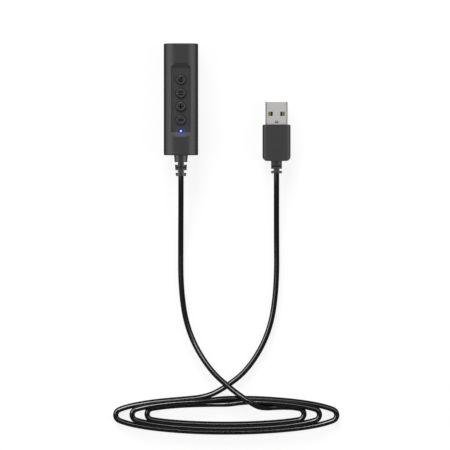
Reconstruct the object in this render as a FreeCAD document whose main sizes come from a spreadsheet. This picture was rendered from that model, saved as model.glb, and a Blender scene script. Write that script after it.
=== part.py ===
import FreeCAD, Part
import math
import os
import re
import Sketcher

# An inline headset volume control on its USB lead, in millimetres. It lies on its back: +Z is up out
# of the button panel, +Y points along the housing to the headset socket, and the cord leaves towards -Y.
# The origin is under the middle of the housing, on the surface that everything lies on.

Vector = FreeCAD.Vector

# Driving sizes. Each one is written once, here, and everything else follows from them.
SIZES = {
    # Housing
    "housing_width": 18.65,
    "housing_end_gap": 10.25,
    "shoulder_radius": 7.5,
    "back_radius": 5.3,
    "end_edge": 0.4,
    "wall": 1.5,
    "axis_height": 6.2,
    "lip_height": 1.0,
    "fit_clearance": 0.05,
    # Scooped button panel
    "panel_width": 10.6,
    "panel_end_gap": 9.125,
    "panel_shift": -0.4,
    "panel_depth": 1.1,
    "panel_wall": 1.3,
    "panel_rim": 1.0,
    "ramp_run": 2.5,
    # Buttons and their switches
    "button_pitch": 7.25,
    "cap_radius": 2.6,
    "cap_gap": 0.25,
    "cap_proud": 0.9,
    "cap_crown": 0.25,
    "cap_slope": 0.8,
    "flange_reach": 0.45,
    "flange_thickness": 0.6,
    "flange_gap": 0.1,
    "pusher_radius": 1.1,
    "press_travel": 0.5,
    "stem_rise": 0.9,
    "switch_width": 4.5,
    "switch_height": 2.3,
    "plunger_radius": 1.2,
    "plunger_seat": 0.6,
    # Status light
    "light_radius": 0.65,
    "light_dome": 0.12,
    "light_slope": 0.3,
    "light_flange_reach": 0.6,
    "chip_light_width": 1.6,
    "chip_light_height": 0.7,
    # Circuit board and what it carries
    "board_thickness": 1.0,
    "board_side_gap": 0.4,
    "board_cord_gap": 0.65,
    "board_socket_gap": 0.75,
    "post_radius": 1.5,
    "post_edge_gap": 2.0,
    "post_socket_gap": 7.75,
    "post_cord_gap": 7.25,
    "screw_radius": 0.7,
    "screw_length": 3.6,
    "screw_head_radius": 1.3,
    "screw_head_height": 0.8,
    "rest_radius": 1.2,
    "rest_edge_gap": 2.4,
    "rest_socket_gap": 20.25,
    "rest_cord_gap": 14.25,
    "capacitor_radius": 1.9,
    "capacitor_height": 3.6,
    "capacitor_spread": 2.8,
    "capacitor_step": 3.2,
    "crystal_width": 3.2,
    "crystal_length": 6.6,
    "crystal_height": 2.0,
    "crystal_step": 6.1,
    "chip_width": 7.0,
    "chip_height": 1.2,
    "chip_step": 7.7,
    "wire_radius": 0.4,
    "wire_pitch": 1.2,
    "wire_length": 5.5,
    # Headset socket
    "socket_width": 6.6,
    "socket_height": 5.0,
    "socket_length": 13.6,
    "socket_nose_radius": 3.0,
    "socket_setback": 0.1,
    "socket_bore_radius": 1.85,
    "socket_bore_depth": 14.0,
    "socket_rib": 1.5,
    "rib_first": 3.4,
    "rib_second": 10.2,
    "contact_thickness": 0.2,
    "contact_width": 1.4,
    "contact_reach": 2.6,
    "contact_skin": 0.2,
    "contact_first": 4.1,
    "contact_second": 10.9,
    # Strain relief on the control
    "relief_recess": 0.7,
    "relief_root_radius": 3.75,
    "relief_tip_radius": 2.75,
    "relief_length": 11.25,
    "relief_neck_radius": 2.5,
    "relief_flange_radius": 3.5,
    "relief_flange_thickness": 1.2,
    "relief_web": 3.3,
    "side_slot": 1.35,
    "side_slot_first": 4.45,
    "side_slot_second": 8.85,
    "face_slot": 1.2,
    "face_slot_place": 6.7,
    # USB plug
    "plug_x": 51.8,
    "plug_tip_y": -1.3,
    "shell_width": 12.0,
    "shell_height": 4.5,
    "shell_exposed": 12.35,
    "shell_buried": 3.5,
    "shell_wall": 0.3,
    "shell_corner": 0.7,
    "window_width": 2.3,
    "window_spread": 3.2,
    "window_setback": 6.6,
    "tongue_height": 1.85,
    "tongue_setback": 0.4,
    "tongue_reach": 9.0,
    "pin_width": 1.0,
    "pin_height": 0.2,
    "pin_inner_spread": 1.0,
    "pin_outer_spread": 3.5,
    "pin_setback": 0.9,
    "grip_width": 15.2,
    "grip_length": 19.7,
    "grip_height": 8.0,
    "grip_edge_radius": 2.6,
    "grip_front_radius": 0.8,
    "grip_rear_radius": 2.5,
    "mould_side_wall": 2.05,
    "mould_face_wall": 1.65,
    "mould_length": 11.0,
    "plug_relief_root_radius": 2.95,
    "plug_relief_tip_radius": 2.9,
    "plug_relief_length": 6.7,
    "plug_relief_web": 3.2,
    "plug_face_slot": 0.9,
    "plug_face_slot_place": 2.9,
    "plug_side_slot": 1.1,
    "plug_side_slot_place": 4.8,
    # Cord
    "cord_radius": 1.5,
    "coil_length": 123.0,
    "coil_width": 21.6,
    "coil_tip_radius": 7.4,
    "coil_x": 24.6,
    "coil_y": -171.2,
    "coil_height": 5.6,
    "eye_length": 82.1,
    "eye_width": 7.9,
    "eye_tip_radius": 2.2,
    "eye_x": 24.15,
    "eye_y": -170.75,
}

# Sizes that follow from the driving ones. The housing is as deep as the stack of board, switch and
# button needs, and as long as the row of buttons with the room at its ends.
DERIVED = {
    "panel_length": "3 * button_pitch + 2 * panel_end_gap",
    "housing_length": "panel_length + 2 * housing_end_gap",
    "end_y": "housing_length / 2",
    "inner_end_y": "end_y - wall",
    "board_bottom": "axis_height",
    "board_top": "board_bottom + board_thickness",
    "switch_top": "board_top + switch_height",
    "plunger_bottom": "switch_top - plunger_seat",
    "plunger_top": "switch_top + press_travel + stem_rise / 2",
    "flange_bottom": "switch_top + press_travel + stem_rise",
    "flange_top": "flange_bottom + flange_thickness",
    "panel_ceiling": "flange_top + flange_gap",
    "panel_floor": "panel_ceiling + panel_wall",
    "housing_height": "panel_floor + panel_depth",
    "widest_round": "housing_width / 2 - wall",
    "shoulder": "min(shoulder_radius; housing_height - axis_height - fit_clearance; widest_round)",
    "back_round": "min(back_radius; axis_height - lip_height / 2; widest_round)",
    "hole_radius": "cap_radius + cap_gap",
    "flange_radius": "hole_radius + flange_reach",
    "cap_top": "panel_floor + cap_proud",
    "cap_edge": "cap_top - cap_crown",
    "light_y": "panel_shift - panel_length / 2 + ramp_run + light_radius",
    "light_flange_radius": "light_radius + fit_clearance + light_flange_reach",
    "light_bottom": "board_top + chip_light_height",
    "relief_inner_y": "relief_flange_thickness - inner_end_y",
    "board_width": "housing_width - 2 * wall - 2 * board_side_gap",
    "board_cord_y": "relief_inner_y + board_cord_gap",
    "board_socket_y": "inner_end_y - board_socket_gap",
    "post_spread": "board_width / 2 - post_edge_gap",
    "post_socket_y": "inner_end_y - post_socket_gap",
    "post_cord_y": "post_cord_gap - inner_end_y",
    "rest_spread": "board_width / 2 - rest_edge_gap",
    "rest_socket_y": "inner_end_y - rest_socket_gap",
    "rest_cord_y": "rest_cord_gap - inner_end_y",
    "capacitor_y": "rest_cord_y + capacitor_step",
    "crystal_y": "capacitor_y + crystal_step",
    "chip_y": "crystal_y + chip_step",
    "socket_inner_y": "inner_end_y - socket_length",
    "socket_bottom": "axis_height - socket_height / 2",
    "plug_axis_height": "grip_height / 2",
    "plug_grip_y": "plug_tip_y - shell_exposed",
    "plug_rear_y": "plug_grip_y - grip_length",
    "shell_rear_y": "plug_grip_y - shell_buried",
    "mould_width": "grip_width - 2 * mould_side_wall",
    "mould_height": "grip_height - 2 * mould_face_wall",
    "tongue_bottom": "plug_axis_height - shell_height / 2 + shell_wall",
    "tongue_top": "tongue_bottom + tongue_height",
    "tongue_root_y": "plug_tip_y - tongue_setback - tongue_reach",
}

# The leads' routes, from the strain relief to the coil. The first point of each is worked out below.
CONTROL_ROUTE = [
    (0.0, -52.0, 6.2), (-0.1, -72.0, 1.6), (-0.2, -104.0, 1.5), (4.0, -127.0, 1.5),
    (15.3, -146.6, 4.4), (28.0, -157.6, 4.9), (36.0, -162.8, 4.7),
]
PLUG_ROUTE = [
    (51.8, -50.0, 4.0), (51.8, -69.0, 1.6), (52.0, -103.0, 1.5), (47.9, -127.0, 1.5),
    (36.4, -146.8, 1.5), (22.5, -157.2, 1.5), (13.5, -161.4, 1.5),
]
# Share of the shorter run that each bend of a lead takes up.
BEND_SHARE = 0.45

doc = FreeCAD.newDocument("inline_volume_control")
sheet = doc.addObject("Spreadsheet::Sheet", "sizes")
finished = []


def fill_sheet():
    """Write every driving size as a number and every derived size as a formula, each with its alias."""
    for row, (alias, entry) in enumerate([*SIZES.items(), *DERIVED.items()], start=1):
        sheet.set(f"A{row}", alias)
        sheet.set(f"B{row}", f"={entry}" if alias in DERIVED else str(entry))
        sheet.setAlias(f"B{row}", alias)
    doc.recompute()


def formula(text):
    """Point each size named in a formula at its cell of the sheet."""
    def named(word):
        known = word[0] in SIZES or word[0] in DERIVED
        return f"sizes.{word[0]}" if known else word[0]
    return re.sub(r"[a-z]\w*", named, text)


def value(text):
    """The number that a formula gives now."""
    return float(sheet.evalExpression(formula(text)))


def bind(thing, formulas):
    """Tie properties of an object to formulas."""
    for name, text in formulas.items():
        thing.setExpression(name, formula(text))


def place(thing, x, y, z):
    """Tie an object's position to three formulas."""
    bind(thing, {"Placement.Base.x": x, "Placement.Base.y": y, "Placement.Base.z": z})


def finish(node, thing):
    """Give a finished sub-part its own label."""
    thing.Label = node
    finished.append(thing)
    return thing


def block(name, wide, long, high, x="0", y="0", z="0"):
    """A block centred on x and y that stands on z."""
    box = doc.addObject("Part::Box", name)
    bind(box, {"Length": wide, "Width": long, "Height": high})
    place(box, f"{x} - ({wide}) / 2", f"{y} - ({long}) / 2", z)
    return box


def upright(name, radius, high, x="0", y="0", z="0"):
    """A round bar that stands on z."""
    bar = doc.addObject("Part::Cylinder", name)
    bind(bar, {"Radius": radius, "Height": high})
    place(bar, x, y, z)
    return bar


def lengthways(name, radius, long, x="0", y="0", z="0"):
    """A round bar that runs from y towards +Y."""
    bar = doc.addObject("Part::Cylinder", name)
    bar.Placement = FreeCAD.Placement(Vector(), FreeCAD.Rotation(Vector(1, 0, 0), -90))
    bind(bar, {"Radius": radius, "Height": long})
    place(bar, x, y, z)
    return bar


def joined(kind, name, things):
    """A boolean or group over several objects."""
    result = doc.addObject(kind, name)
    if kind == "Part::Compound":
        result.Links = list(things)
    else:
        result.Shapes = list(things)
    return result


def fuse(name, *things):
    return joined("Part::MultiFuse", name, things)


def common(name, *things):
    return joined("Part::MultiCommon", name, things)


def group(name, *things):
    return joined("Part::Compound", name, things)


def cut(name, base, *tools):
    """Cut one or more tools from a base."""
    result = doc.addObject("Part::Cut", name)
    result.Base = base
    result.Tool = tools[0] if len(tools) == 1 else fuse(f"{name}_tools", *tools)
    return result


def new_sketch(body, plane, name):
    """A sketch on one of its own body's origin planes."""
    sketch = body.newObject("Sketcher::SketchObject", name)
    support = next(item for item in body.Origin.OriginFeatures if item.Role == plane)
    sketch.AttachmentSupport = [(support, "")]
    sketch.MapMode = "FlatFace"
    return sketch


def bulged(start, end, radius):
    """The arc of a circle from start to end, counter-clockwise, no more than half a turn."""
    chord = end - start
    rise = math.sqrt(max(radius ** 2 - chord.Length ** 2 / 4, 0))
    centre = (start + end) / 2 + Vector(-chord.y, chord.x, 0).normalize() * rise
    first = math.atan2(start.y - centre.y, start.x - centre.x)
    last = math.atan2(end.y - centre.y, end.x - centre.x)
    circle = Part.Circle(centre, Vector(0, 0, 1), radius)
    return Part.ArcOfCircle(circle, first, last if last > first else last + 2 * math.pi)


def draw(sketch, corners, arcs=None):
    """Draw a closed outline counter-clockwise.

    Corners are pairs of formulas. An edge is straight unless arcs gives a radius for its first corner.
    """
    arcs = arcs or {}
    count = len(corners)
    first = sketch.GeometryCount
    spots = [Vector(value(x), value(y), 0) for x, y in corners]
    for i in range(count):
        start, end = spots[i], spots[(i + 1) % count]
        if i in arcs:
            sketch.addGeometry(bulged(start, end, value(arcs[i])))
        else:
            sketch.addGeometry(Part.LineSegment(start, end))
    for i in range(count):
        after = first + (i + 1) % count
        sketch.addConstraint(Sketcher.Constraint("Coincident", first + i, 2, after, 1))
    for i, corner in enumerate(corners):
        for kind, text, now in zip(("DistanceX", "DistanceY"), corner, spots[i]):
            rule = Sketcher.Constraint(kind, -1, 1, first + i, 1, now)
            name = f"{kind}{first + i}"
            sketch.renameConstraint(sketch.addConstraint(rule), name)
            bind(sketch, {f"Constraints.{name}": text})
        if i in arcs:
            rule = Sketcher.Constraint("Radius", first + i, value(arcs[i]))
            name = f"Radius{first + i}"
            sketch.renameConstraint(sketch.addConstraint(rule), name)
            bind(sketch, {f"Constraints.{name}": arcs[i]})


def rectangle(wide, high, x="0", y="0"):
    """The corners of a rectangle centred on x and y."""
    left, right = f"{x} - ({wide}) / 2", f"{x} + ({wide}) / 2"
    low, top = f"{y} - ({high}) / 2", f"{y} + ({high}) / 2"
    return [(left, low), (right, low), (right, top), (left, top)]


def padded(name, plane, outlines, length, both_ways=True):
    """A body that pushes outlines through a length, to both sides of their plane or to one."""
    body = doc.addObject("PartDesign::Body", name)
    sketch = new_sketch(body, plane, f"{name}_outline")
    for corners, arcs in outlines:
        draw(sketch, corners, arcs)
    pad = body.newObject("PartDesign::Pad", f"{name}_pad")
    pad.Profile = sketch
    pad.SideType = "Symmetric" if both_ways else "One side"
    bind(pad, {"Length": length})
    doc.recompute()
    return body


def turned(name, plane, corners, arcs=None):
    """A body turned about its sketch's upright axis from half a profile."""
    body = doc.addObject("PartDesign::Body", name)
    sketch = new_sketch(body, plane, f"{name}_profile")
    draw(sketch, corners, arcs)
    turn = body.newObject("PartDesign::Revolution", f"{name}_turn")
    turn.Profile = sketch
    turn.ReferenceAxis = (sketch, ["V_Axis"])
    turn.Angle = 360
    doc.recompute()
    return body


def pocketed(body, name, plane, outlines):
    """Cut outlines right through a body, to both sides of their plane."""
    before = body.Shape.Volume
    sketch = new_sketch(body, plane, f"{name}_outline")
    for corners in outlines:
        draw(sketch, corners)
    pocket = body.newObject("PartDesign::Pocket", name)
    pocket.Profile = sketch
    pocket.Type = "ThroughAll"
    pocket.SideType = "Symmetric"
    doc.recompute()
    if not body.Shape.Volume < before:
        raise RuntimeError(f"{name} takes nothing away")


def dressed(body, kind, name, size, wanted):
    """Round (kind Fillet) or break (kind Chamfer) the edges of a body's last feature that a test picks."""
    tip = body.Tip
    names = [f"Edge{i}" for i, edge in enumerate(tip.Shape.Edges, start=1) if wanted(edge)]
    dressing = body.newObject(f"PartDesign::{kind}", name)
    dressing.Base = (tip, names)
    bind(dressing, {"Radius" if kind == "Fillet" else "Size": size})
    doc.recompute()


def runs_lengthways(edge):
    """Whether an edge is straight and runs along Y."""
    box = edge.BoundBox
    return box.XLength < 1e-6 and box.ZLength < 1e-6


def runs_upright(edge):
    """Whether an edge is straight and runs along Z."""
    box = edge.BoundBox
    return box.XLength < 1e-6 and box.YLength < 1e-6


def bar(name, wide, high, long, radius):
    """A bar along Y with its four long edges rounded, centred on its own origin."""
    body = padded(name, "XZ_Plane", [(rectangle(wide, high), None)], long)
    dressed(body, "Fillet", f"{name}_rounding", radius, runs_lengthways)
    return body


def housing_form(name, inset):
    """The housing's form, smaller all round by an inset: flat back, upright sides, broad shoulders."""
    half, low, top = f"housing_width / 2 - ({inset})", inset, f"housing_height - ({inset})"
    corners = [(f"-({half})", low), (half, low), (half, top), (f"-({half})", top)]
    body = padded(name, "XZ_Plane", [(corners, None)], f"housing_length - 2 * ({inset})")
    middle = value("housing_height / 2")
    dressed(body, "Fillet", f"{name}_shoulders", f"shoulder - ({inset})",
            lambda edge: runs_lengthways(edge) and edge.BoundBox.ZMin > middle)
    dressed(body, "Fillet", f"{name}_back", f"back_round - ({inset})",
            lambda edge: runs_lengthways(edge) and edge.BoundBox.ZMin < value(inset) + 1e-6)
    return body


def outer_form():
    """The housing's outside, with its end edges just broken."""
    body = housing_form("housing_outer", "0")
    reach = value("end_y")
    dressed(body, "Chamfer", "housing_end_edges", "end_edge",
            lambda edge: edge.BoundBox.YLength < 1e-6 and abs(abs(edge.BoundBox.YMin) - reach) < 1e-6)
    return body


def button_y(index):
    """The middle of a button, counted from the socket end."""
    return f"panel_shift + {1.5 - index} * button_pitch"


def four_uprights(name, kind, radius, high, z):
    """The same round bar at two places across the board near each end: where its posts or its rests are."""
    places = [(f"{side}{kind}_spread", f"{kind}_{end}_y") for end in ("socket", "cord")
              for side in ("-", "")]
    return [upright(f"{name}_{i}", radius, high, x, y, z) for i, (x, y) in enumerate(places)]


def front_shell(outer, cavity):
    """Upper half of the housing: shoulders, scooped panel, button holes, board posts and a lip."""
    half = block("front_half", "2 * housing_width", "2 * housing_length", "housing_height", z="axis_height")
    hollow = cut("front_hollow", common("front_blank", outer, half), cavity)
    backing = block("panel_backing", "panel_width + 2 * panel_rim", "panel_length + 2 * panel_rim",
                    "housing_height - panel_ceiling", y="panel_shift", z="panel_ceiling")
    posts = four_uprights("board_post", "post", "post_radius", "housing_height - board_top", "board_top")
    roof = common("front_roof", fuse("roof_parts", backing, *posts), outer)
    slab = block("lip_slab", "2 * housing_width", "2 * housing_length", "lip_height + wall / 2",
                 z="axis_height - lip_height")
    lip = cut("lip", common("lip_ring", housing_form("lip_form", "wall / 2"), slab), cavity)
    solid = fuse("front_solid", hollow, roof, lip)

    far = "housing_height + panel_depth"
    scoop_ends = {"low": "panel_shift - panel_length / 2", "high": "panel_shift + panel_length / 2"}
    scoop = padded("panel_scoop", "YZ_Plane", [([
        (scoop_ends["low"], "housing_height"), (f"{scoop_ends['low']} + ramp_run", "panel_floor"),
        (f"{scoop_ends['high']} - ramp_run", "panel_floor"), (scoop_ends["high"], "housing_height"),
        (scoop_ends["high"], far), (scoop_ends["low"], far),
    ], None)], "panel_width")
    holes = [upright(f"button_hole_{i}", "hole_radius", "housing_height", y=button_y(i),
                     z="board_top") for i in range(4)]
    light_hole = upright("light_hole", "light_radius + fit_clearance", "housing_height", y="light_y",
                         z="board_top")
    pilots = four_uprights("screw_pilot", "post", "screw_radius + fit_clearance", "screw_length",
                           "board_bottom")
    shell = cut("front_cut", solid, scoop, *holes, light_hole, *pilots, *end_openings("front"))
    finish("front_shell", shell)


def end_openings(side):
    """The socket's hole at one end and the strain relief's stepped hole at the other."""
    socket = lengthways(f"{side}_socket_hole", "socket_nose_radius + fit_clearance", "2 * wall",
                        y="inner_end_y - wall / 2", z="axis_height")
    neck = lengthways(f"{side}_neck_hole", "relief_neck_radius + fit_clearance", "2 * wall",
                      y="-end_y - wall / 2", z="axis_height")
    recess = lengthways(f"{side}_relief_recess", "relief_root_radius + fit_clearance",
                        "relief_recess + wall", y="-end_y - wall", z="axis_height")
    return socket, neck, recess


def back_shell(outer, cavity):
    """Lower half of the housing: flat back, groove for the lip, board rests and a cradle for the socket."""
    half = block("back_half", "2 * housing_width", "2 * housing_length", "axis_height")
    hollow = cut("back_hollow", common("back_blank", outer, half), cavity)
    slab = block("groove_slab", "2 * housing_width", "2 * housing_length", "lip_height + wall",
                 z="axis_height - lip_height - fit_clearance")
    groove = common("lip_groove", housing_form("groove_form", "wall / 2 - fit_clearance"), slab)
    rests = four_uprights("board_rest", "rest", "rest_radius", "board_bottom - wall / 2", "wall / 2")
    ribs = [block(f"socket_{rib}", "socket_width", "socket_rib", "socket_bottom - wall / 2",
                  y=f"inner_end_y - {rib}", z="wall / 2") for rib in ("rib_first", "rib_second")]
    solid = fuse("back_solid", cut("back_grooved", hollow, groove), *rests, *ribs)
    shell = cut("back_cut", solid, *end_openings("back"))
    finish("back_shell", shell)


def button(node, index):
    """A cap with a sloped rim, on a flange that can't pass its hole, over a pusher for the switch."""
    cap = turned(f"{node}_form", "XZ_Plane", [
        ("0", "plunger_top"), ("pusher_radius", "plunger_top"), ("pusher_radius", "flange_bottom"),
        ("flange_radius", "flange_bottom"), ("flange_radius", "flange_top"), ("cap_radius", "flange_top"),
        ("cap_radius", "cap_edge"), ("cap_radius - cap_slope", "cap_top"), ("0", "cap_top"),
    ])
    place(cap, "0", button_y(index), "0")
    finish(node, cap)


def switch(index):
    """The still part of a push switch: a square can with a well for its plunger."""
    can = block(f"switch_can_{index}", "switch_width", "switch_width", "switch_height", y=button_y(index),
                z="board_top")
    well = upright(f"switch_well_{index}", "plunger_radius + 2 * fit_clearance", "switch_height",
                   y=button_y(index), z="plunger_bottom - press_travel - 2 * fit_clearance")
    return cut(f"switch_{index}", can, well)


def buttons_and_switches():
    """The four buttons, the plunger that each one presses, and the switches on the board."""
    names = ("mic_mute", "speaker_mute", "volume_up", "volume_down")
    for index, name in enumerate(names):
        button(f"{name}_button", index)
        plunger = upright(f"{name}_stem", "plunger_radius", "plunger_top - plunger_bottom",
                          y=button_y(index), z="plunger_bottom")
        finish(f"{name}_plunger", plunger)
    finish("push_switches", group("switch_row", *[switch(index) for index in range(len(names))]))


def status_light():
    """A light pipe that ends in a small dome in the panel, over the chip that lights it."""
    flange_bottom = "panel_ceiling - flange_thickness"
    pipe = turned("light_pipe_form", "XZ_Plane", [
        ("0", "light_bottom"), ("light_radius", "light_bottom"), ("light_radius", flange_bottom),
        ("light_flange_radius", flange_bottom), ("light_flange_radius", "panel_ceiling"),
        ("light_radius", "panel_ceiling"), ("light_radius", "panel_floor"),
        ("light_radius - light_slope", "panel_floor + light_dome"), ("0", "panel_floor + light_dome"),
    ])
    place(pipe, "0", "light_y", "0")
    finish("status_light_pipe", pipe)
    chip = block("light_chip_form", "chip_light_width", "chip_light_width", "chip_light_height",
                 y="light_y", z="board_top")
    finish("light_chip", chip)


def circuit_board():
    """The board, notched round the headset socket, and what hangs under it."""
    length = "board_socket_y - board_cord_y"
    sheet_blank = block("board_blank", "board_width", length, "board_thickness",
                        y="(board_socket_y + board_cord_y) / 2", z="board_bottom")
    notch_gap = "4 * fit_clearance"
    notch = block("board_notch", f"socket_width + {notch_gap}", "2 * socket_length", "2 * board_thickness",
                  y=f"socket_inner_y - {notch_gap} + socket_length", z="board_bottom - board_thickness / 2")
    holes = four_uprights("board_hole", "post", "screw_radius + 2 * fit_clearance", "2 * board_thickness",
                          "board_bottom - board_thickness / 2")
    finish("circuit_board", cut("board_cut", sheet_blank, notch, *holes))

    chip = block("chip_form", "chip_width", "chip_width", "chip_height", y="chip_y",
                 z="board_bottom - chip_height")
    finish("audio_chip", chip)
    ends = [upright(f"crystal_end_{i}", "crystal_width / 2", "crystal_height",
                    f"{side}(crystal_length - crystal_width) / 2", "crystal_y",
                    "board_bottom - crystal_height")
            for i, side in enumerate(("-", ""))]
    middle = block("crystal_middle", "crystal_length - crystal_width", "crystal_width", "crystal_height",
                   y="crystal_y", z="board_bottom - crystal_height")
    finish("crystal", fuse("crystal_form", middle, *ends))
    cans = [upright(f"capacitor_{i}", "capacitor_radius", "capacitor_height", f"{side}capacitor_spread",
                    "capacitor_y", "board_bottom - capacitor_height")
            for i, side in enumerate(("-", ""))]
    finish("board_capacitors", group("capacitor_pair", *cans))
    wires = [lengthways(f"wire_{i}", "wire_radius", "wire_length", f"{i - 1.5} * wire_pitch",
                        "relief_inner_y", "board_bottom - wire_radius - fit_clearance")
             for i in range(4)]
    finish("lead_wires", group("wire_row", *wires))


def board_screws():
    """Four screws that hold the board to the front shell's posts from behind."""
    heads = four_uprights("screw_head", "post", "screw_head_radius", "screw_head_height",
                          "board_bottom - screw_head_height")
    shanks = four_uprights("screw_shank", "post", "screw_radius", "screw_length - fit_clearance",
                           "board_bottom")
    screws = [fuse(f"board_screw_{i}", head, shank) for i, (head, shank) in enumerate(zip(heads, shanks))]
    finish("board_screws", group("screw_set", *screws))


def headset_socket():
    """The socket's body with its round nose in the end wall, and four terminals that slide into it."""
    body = block("socket_block", "socket_width", "socket_length - fit_clearance", "socket_height",
                 y="inner_end_y - fit_clearance - (socket_length - fit_clearance) / 2",
                 z="socket_bottom")
    nose = lengthways("socket_nose", "socket_nose_radius", "2 * wall - socket_setback",
                      y="inner_end_y - wall", z="axis_height")
    bore = lengthways("socket_bore", "socket_bore_radius", "socket_bore_depth + wall",
                      y="end_y - socket_setback - socket_bore_depth", z="axis_height")
    slots, terminals = [], []
    for i, (side, place_y) in enumerate([(side, place_y) for place_y in ("contact_first", "contact_second")
                                         for side in (-1, 1)]):
        middle = f"{side} * (socket_bore_radius + contact_skin + contact_reach / 2)"
        y = f"inner_end_y - {place_y}"
        gap = "2 * fit_clearance"
        slots.append(block(f"terminal_slot_{i}", f"contact_reach + {gap}", f"contact_width + {gap}",
                           "contact_thickness + fit_clearance", middle, y, "board_top"))
        terminals.append(block(f"terminal_{i}", "contact_reach", "contact_width", "contact_thickness",
                               middle, y, "board_top"))
    finish("headset_socket", cut("socket_cut", fuse("socket_solid", body, nose), bore, *slots))
    finish("socket_contacts", group("terminal_set", *terminals))


def slotted_relief(name, profile, web, side_slots, face_slots):
    """A turned strain relief, slotted from its sides and from its faces in turn so that it bends."""
    relief = turned(name, "XY_Plane", profile)
    reach = "2 * relief_root_radius"
    far = f"({web}) / 2 + {reach} / 2"
    sides = [rectangle(reach, width, x, place_y) for place_y, width in side_slots
             for x in (f"-({far})", far)]
    pocketed(relief, f"{name}_side_slots", "XY_Plane", sides)
    faces = [rectangle(width, reach, place_y, z) for place_y, width in face_slots
             for z in (f"-({far})", far)]
    pocketed(relief, f"{name}_face_slots", "YZ_Plane", faces)
    return relief


def control_relief():
    """The strain relief in the housing's cord end, held by a flange inside the end wall."""
    tip = "-end_y - relief_length"
    profile = [
        ("0", tip), ("relief_tip_radius", tip), ("relief_root_radius", "-end_y"),
        ("relief_root_radius", "relief_recess - end_y"), ("relief_neck_radius", "relief_recess - end_y"),
        ("relief_neck_radius", "-inner_end_y"), ("relief_flange_radius", "-inner_end_y"),
        ("relief_flange_radius", "relief_inner_y"), ("0", "relief_inner_y"),
    ]
    relief = slotted_relief(
        "control_relief_form", profile, "relief_web",
        [("-end_y - side_slot_first", "side_slot"), ("-end_y - side_slot_second", "side_slot")],
        [("-end_y - face_slot_place", "face_slot")])
    place(relief, "0", "0", "axis_height")
    finish("control_strain_relief", relief)


def usb_plug():
    """The plug, lying flat with its contacts facing up: shell, tongue, pins, inner mould and grip."""
    shell_middle = "(plug_tip_y + shell_rear_y) / 2"
    outside = bar("shell_outside", "shell_width", "shell_height", "shell_exposed + shell_buried",
                  "shell_corner")
    inside = bar("shell_inside", "shell_width - 2 * shell_wall", "shell_height - 2 * shell_wall",
                 "shell_exposed + shell_buried + 2 * shell_wall", "shell_corner - shell_wall")
    for form in (outside, inside):
        place(form, "plug_x", shell_middle, "plug_axis_height")
    windows = [block(f"shell_window_{i}", "window_width", "window_width", "2 * shell_height",
                     f"plug_x + {side} * window_spread", "plug_tip_y - window_setback",
                     "plug_axis_height - shell_height") for i, side in enumerate((-1, 1))]
    finish("usb_shell", cut("shell_cut", outside, inside, *windows))

    room = "shell_width - 2 * shell_wall - 2 * fit_clearance"
    tongue = block("tongue", room, "tongue_reach + shell_wall", "tongue_height", "plug_x",
                   "plug_tip_y - tongue_setback - (tongue_reach + shell_wall) / 2", "tongue_bottom")
    root = block("tongue_root", room, "tongue_root_y - shell_rear_y",
                 "shell_height - 2 * shell_wall - fit_clearance", "plug_x",
                 "(tongue_root_y + shell_rear_y) / 2", "tongue_bottom")
    finish("usb_tongue", trimmed("tongue_trim", fuse("tongue_solid", tongue, root)))

    pins = []
    for i, (side, row) in enumerate([(-1, "outer"), (-1, "inner"), (1, "inner"), (1, "outer")]):
        length = "tongue_reach + tongue_setback - pin_setback"
        pins.append(block(f"pin_{i}", "pin_width", length, "pin_height",
                          f"plug_x + {side} * pin_{row}_spread", f"tongue_root_y + ({length}) / 2",
                          "tongue_top"))
    finish("usb_contacts", group("pin_row", *pins))

    mould = block("mould_form", "mould_width", "mould_length", "mould_height", "plug_x",
                  "shell_rear_y - mould_length / 2", "plug_axis_height - mould_height / 2")
    finish("plug_inner_mould", mould)

    side_view = bar("grip_bar", "grip_width", "grip_height", "grip_length", "grip_edge_radius")
    plan = rectangle("grip_width", "grip_length")
    top_view = padded("grip_plan", "XY_Plane", [(plan, None)], "grip_height")
    for end, side in (("front", 1), ("rear", -1)):
        dressed(top_view, "Fillet", f"grip_{end}_corners", f"grip_{end}_radius",
                lambda edge: runs_upright(edge) and edge.BoundBox.YMin * side > 0)
    for form in (side_view, top_view):
        place(form, "plug_x", "(plug_grip_y + plug_rear_y) / 2", "plug_axis_height")
    grip = common("grip_form", side_view, top_view)
    seat = bar("shell_seat", "shell_width + 2 * fit_clearance", "shell_height + 2 * fit_clearance",
               "2 * shell_buried", "shell_corner + fit_clearance")
    place(seat, "plug_x", "plug_grip_y", "plug_axis_height")
    room = block("mould_room", "mould_width + 2 * fit_clearance", "mould_length + fit_clearance",
                 "mould_height + 2 * fit_clearance", "plug_x",
                 "shell_rear_y - (mould_length + fit_clearance) / 2",
                 "plug_axis_height - mould_height / 2 - fit_clearance")
    tip = "-plug_relief_length"
    relief = slotted_relief(
        "plug_relief_form",
        [("0", tip), ("plug_relief_tip_radius", tip), ("plug_relief_root_radius", "0"),
         ("plug_relief_root_radius", "grip_rear_radius"), ("0", "grip_rear_radius")],
        "plug_relief_web", [("-plug_side_slot_place", "plug_side_slot")],
        [("-plug_face_slot_place", "plug_face_slot")])
    place(relief, "plug_x", "plug_rear_y", "plug_axis_height")
    finish("plug_grip", cut("grip_cut", fuse("grip_solid", grip, relief), seat, room))


def trimmed(name, thing):
    """Round a piece's long edges so that it fits inside the plug's folded shell."""
    form = bar(f"{name}_form", "shell_width - 2 * shell_wall - 2 * fit_clearance",
               "shell_height - 2 * shell_wall", "2 * shell_exposed + 2 * shell_buried",
               "shell_corner - shell_wall")
    place(form, "plug_x", "(plug_tip_y + shell_rear_y) / 2", "plug_axis_height")
    return common(name, thing, form)


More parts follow.
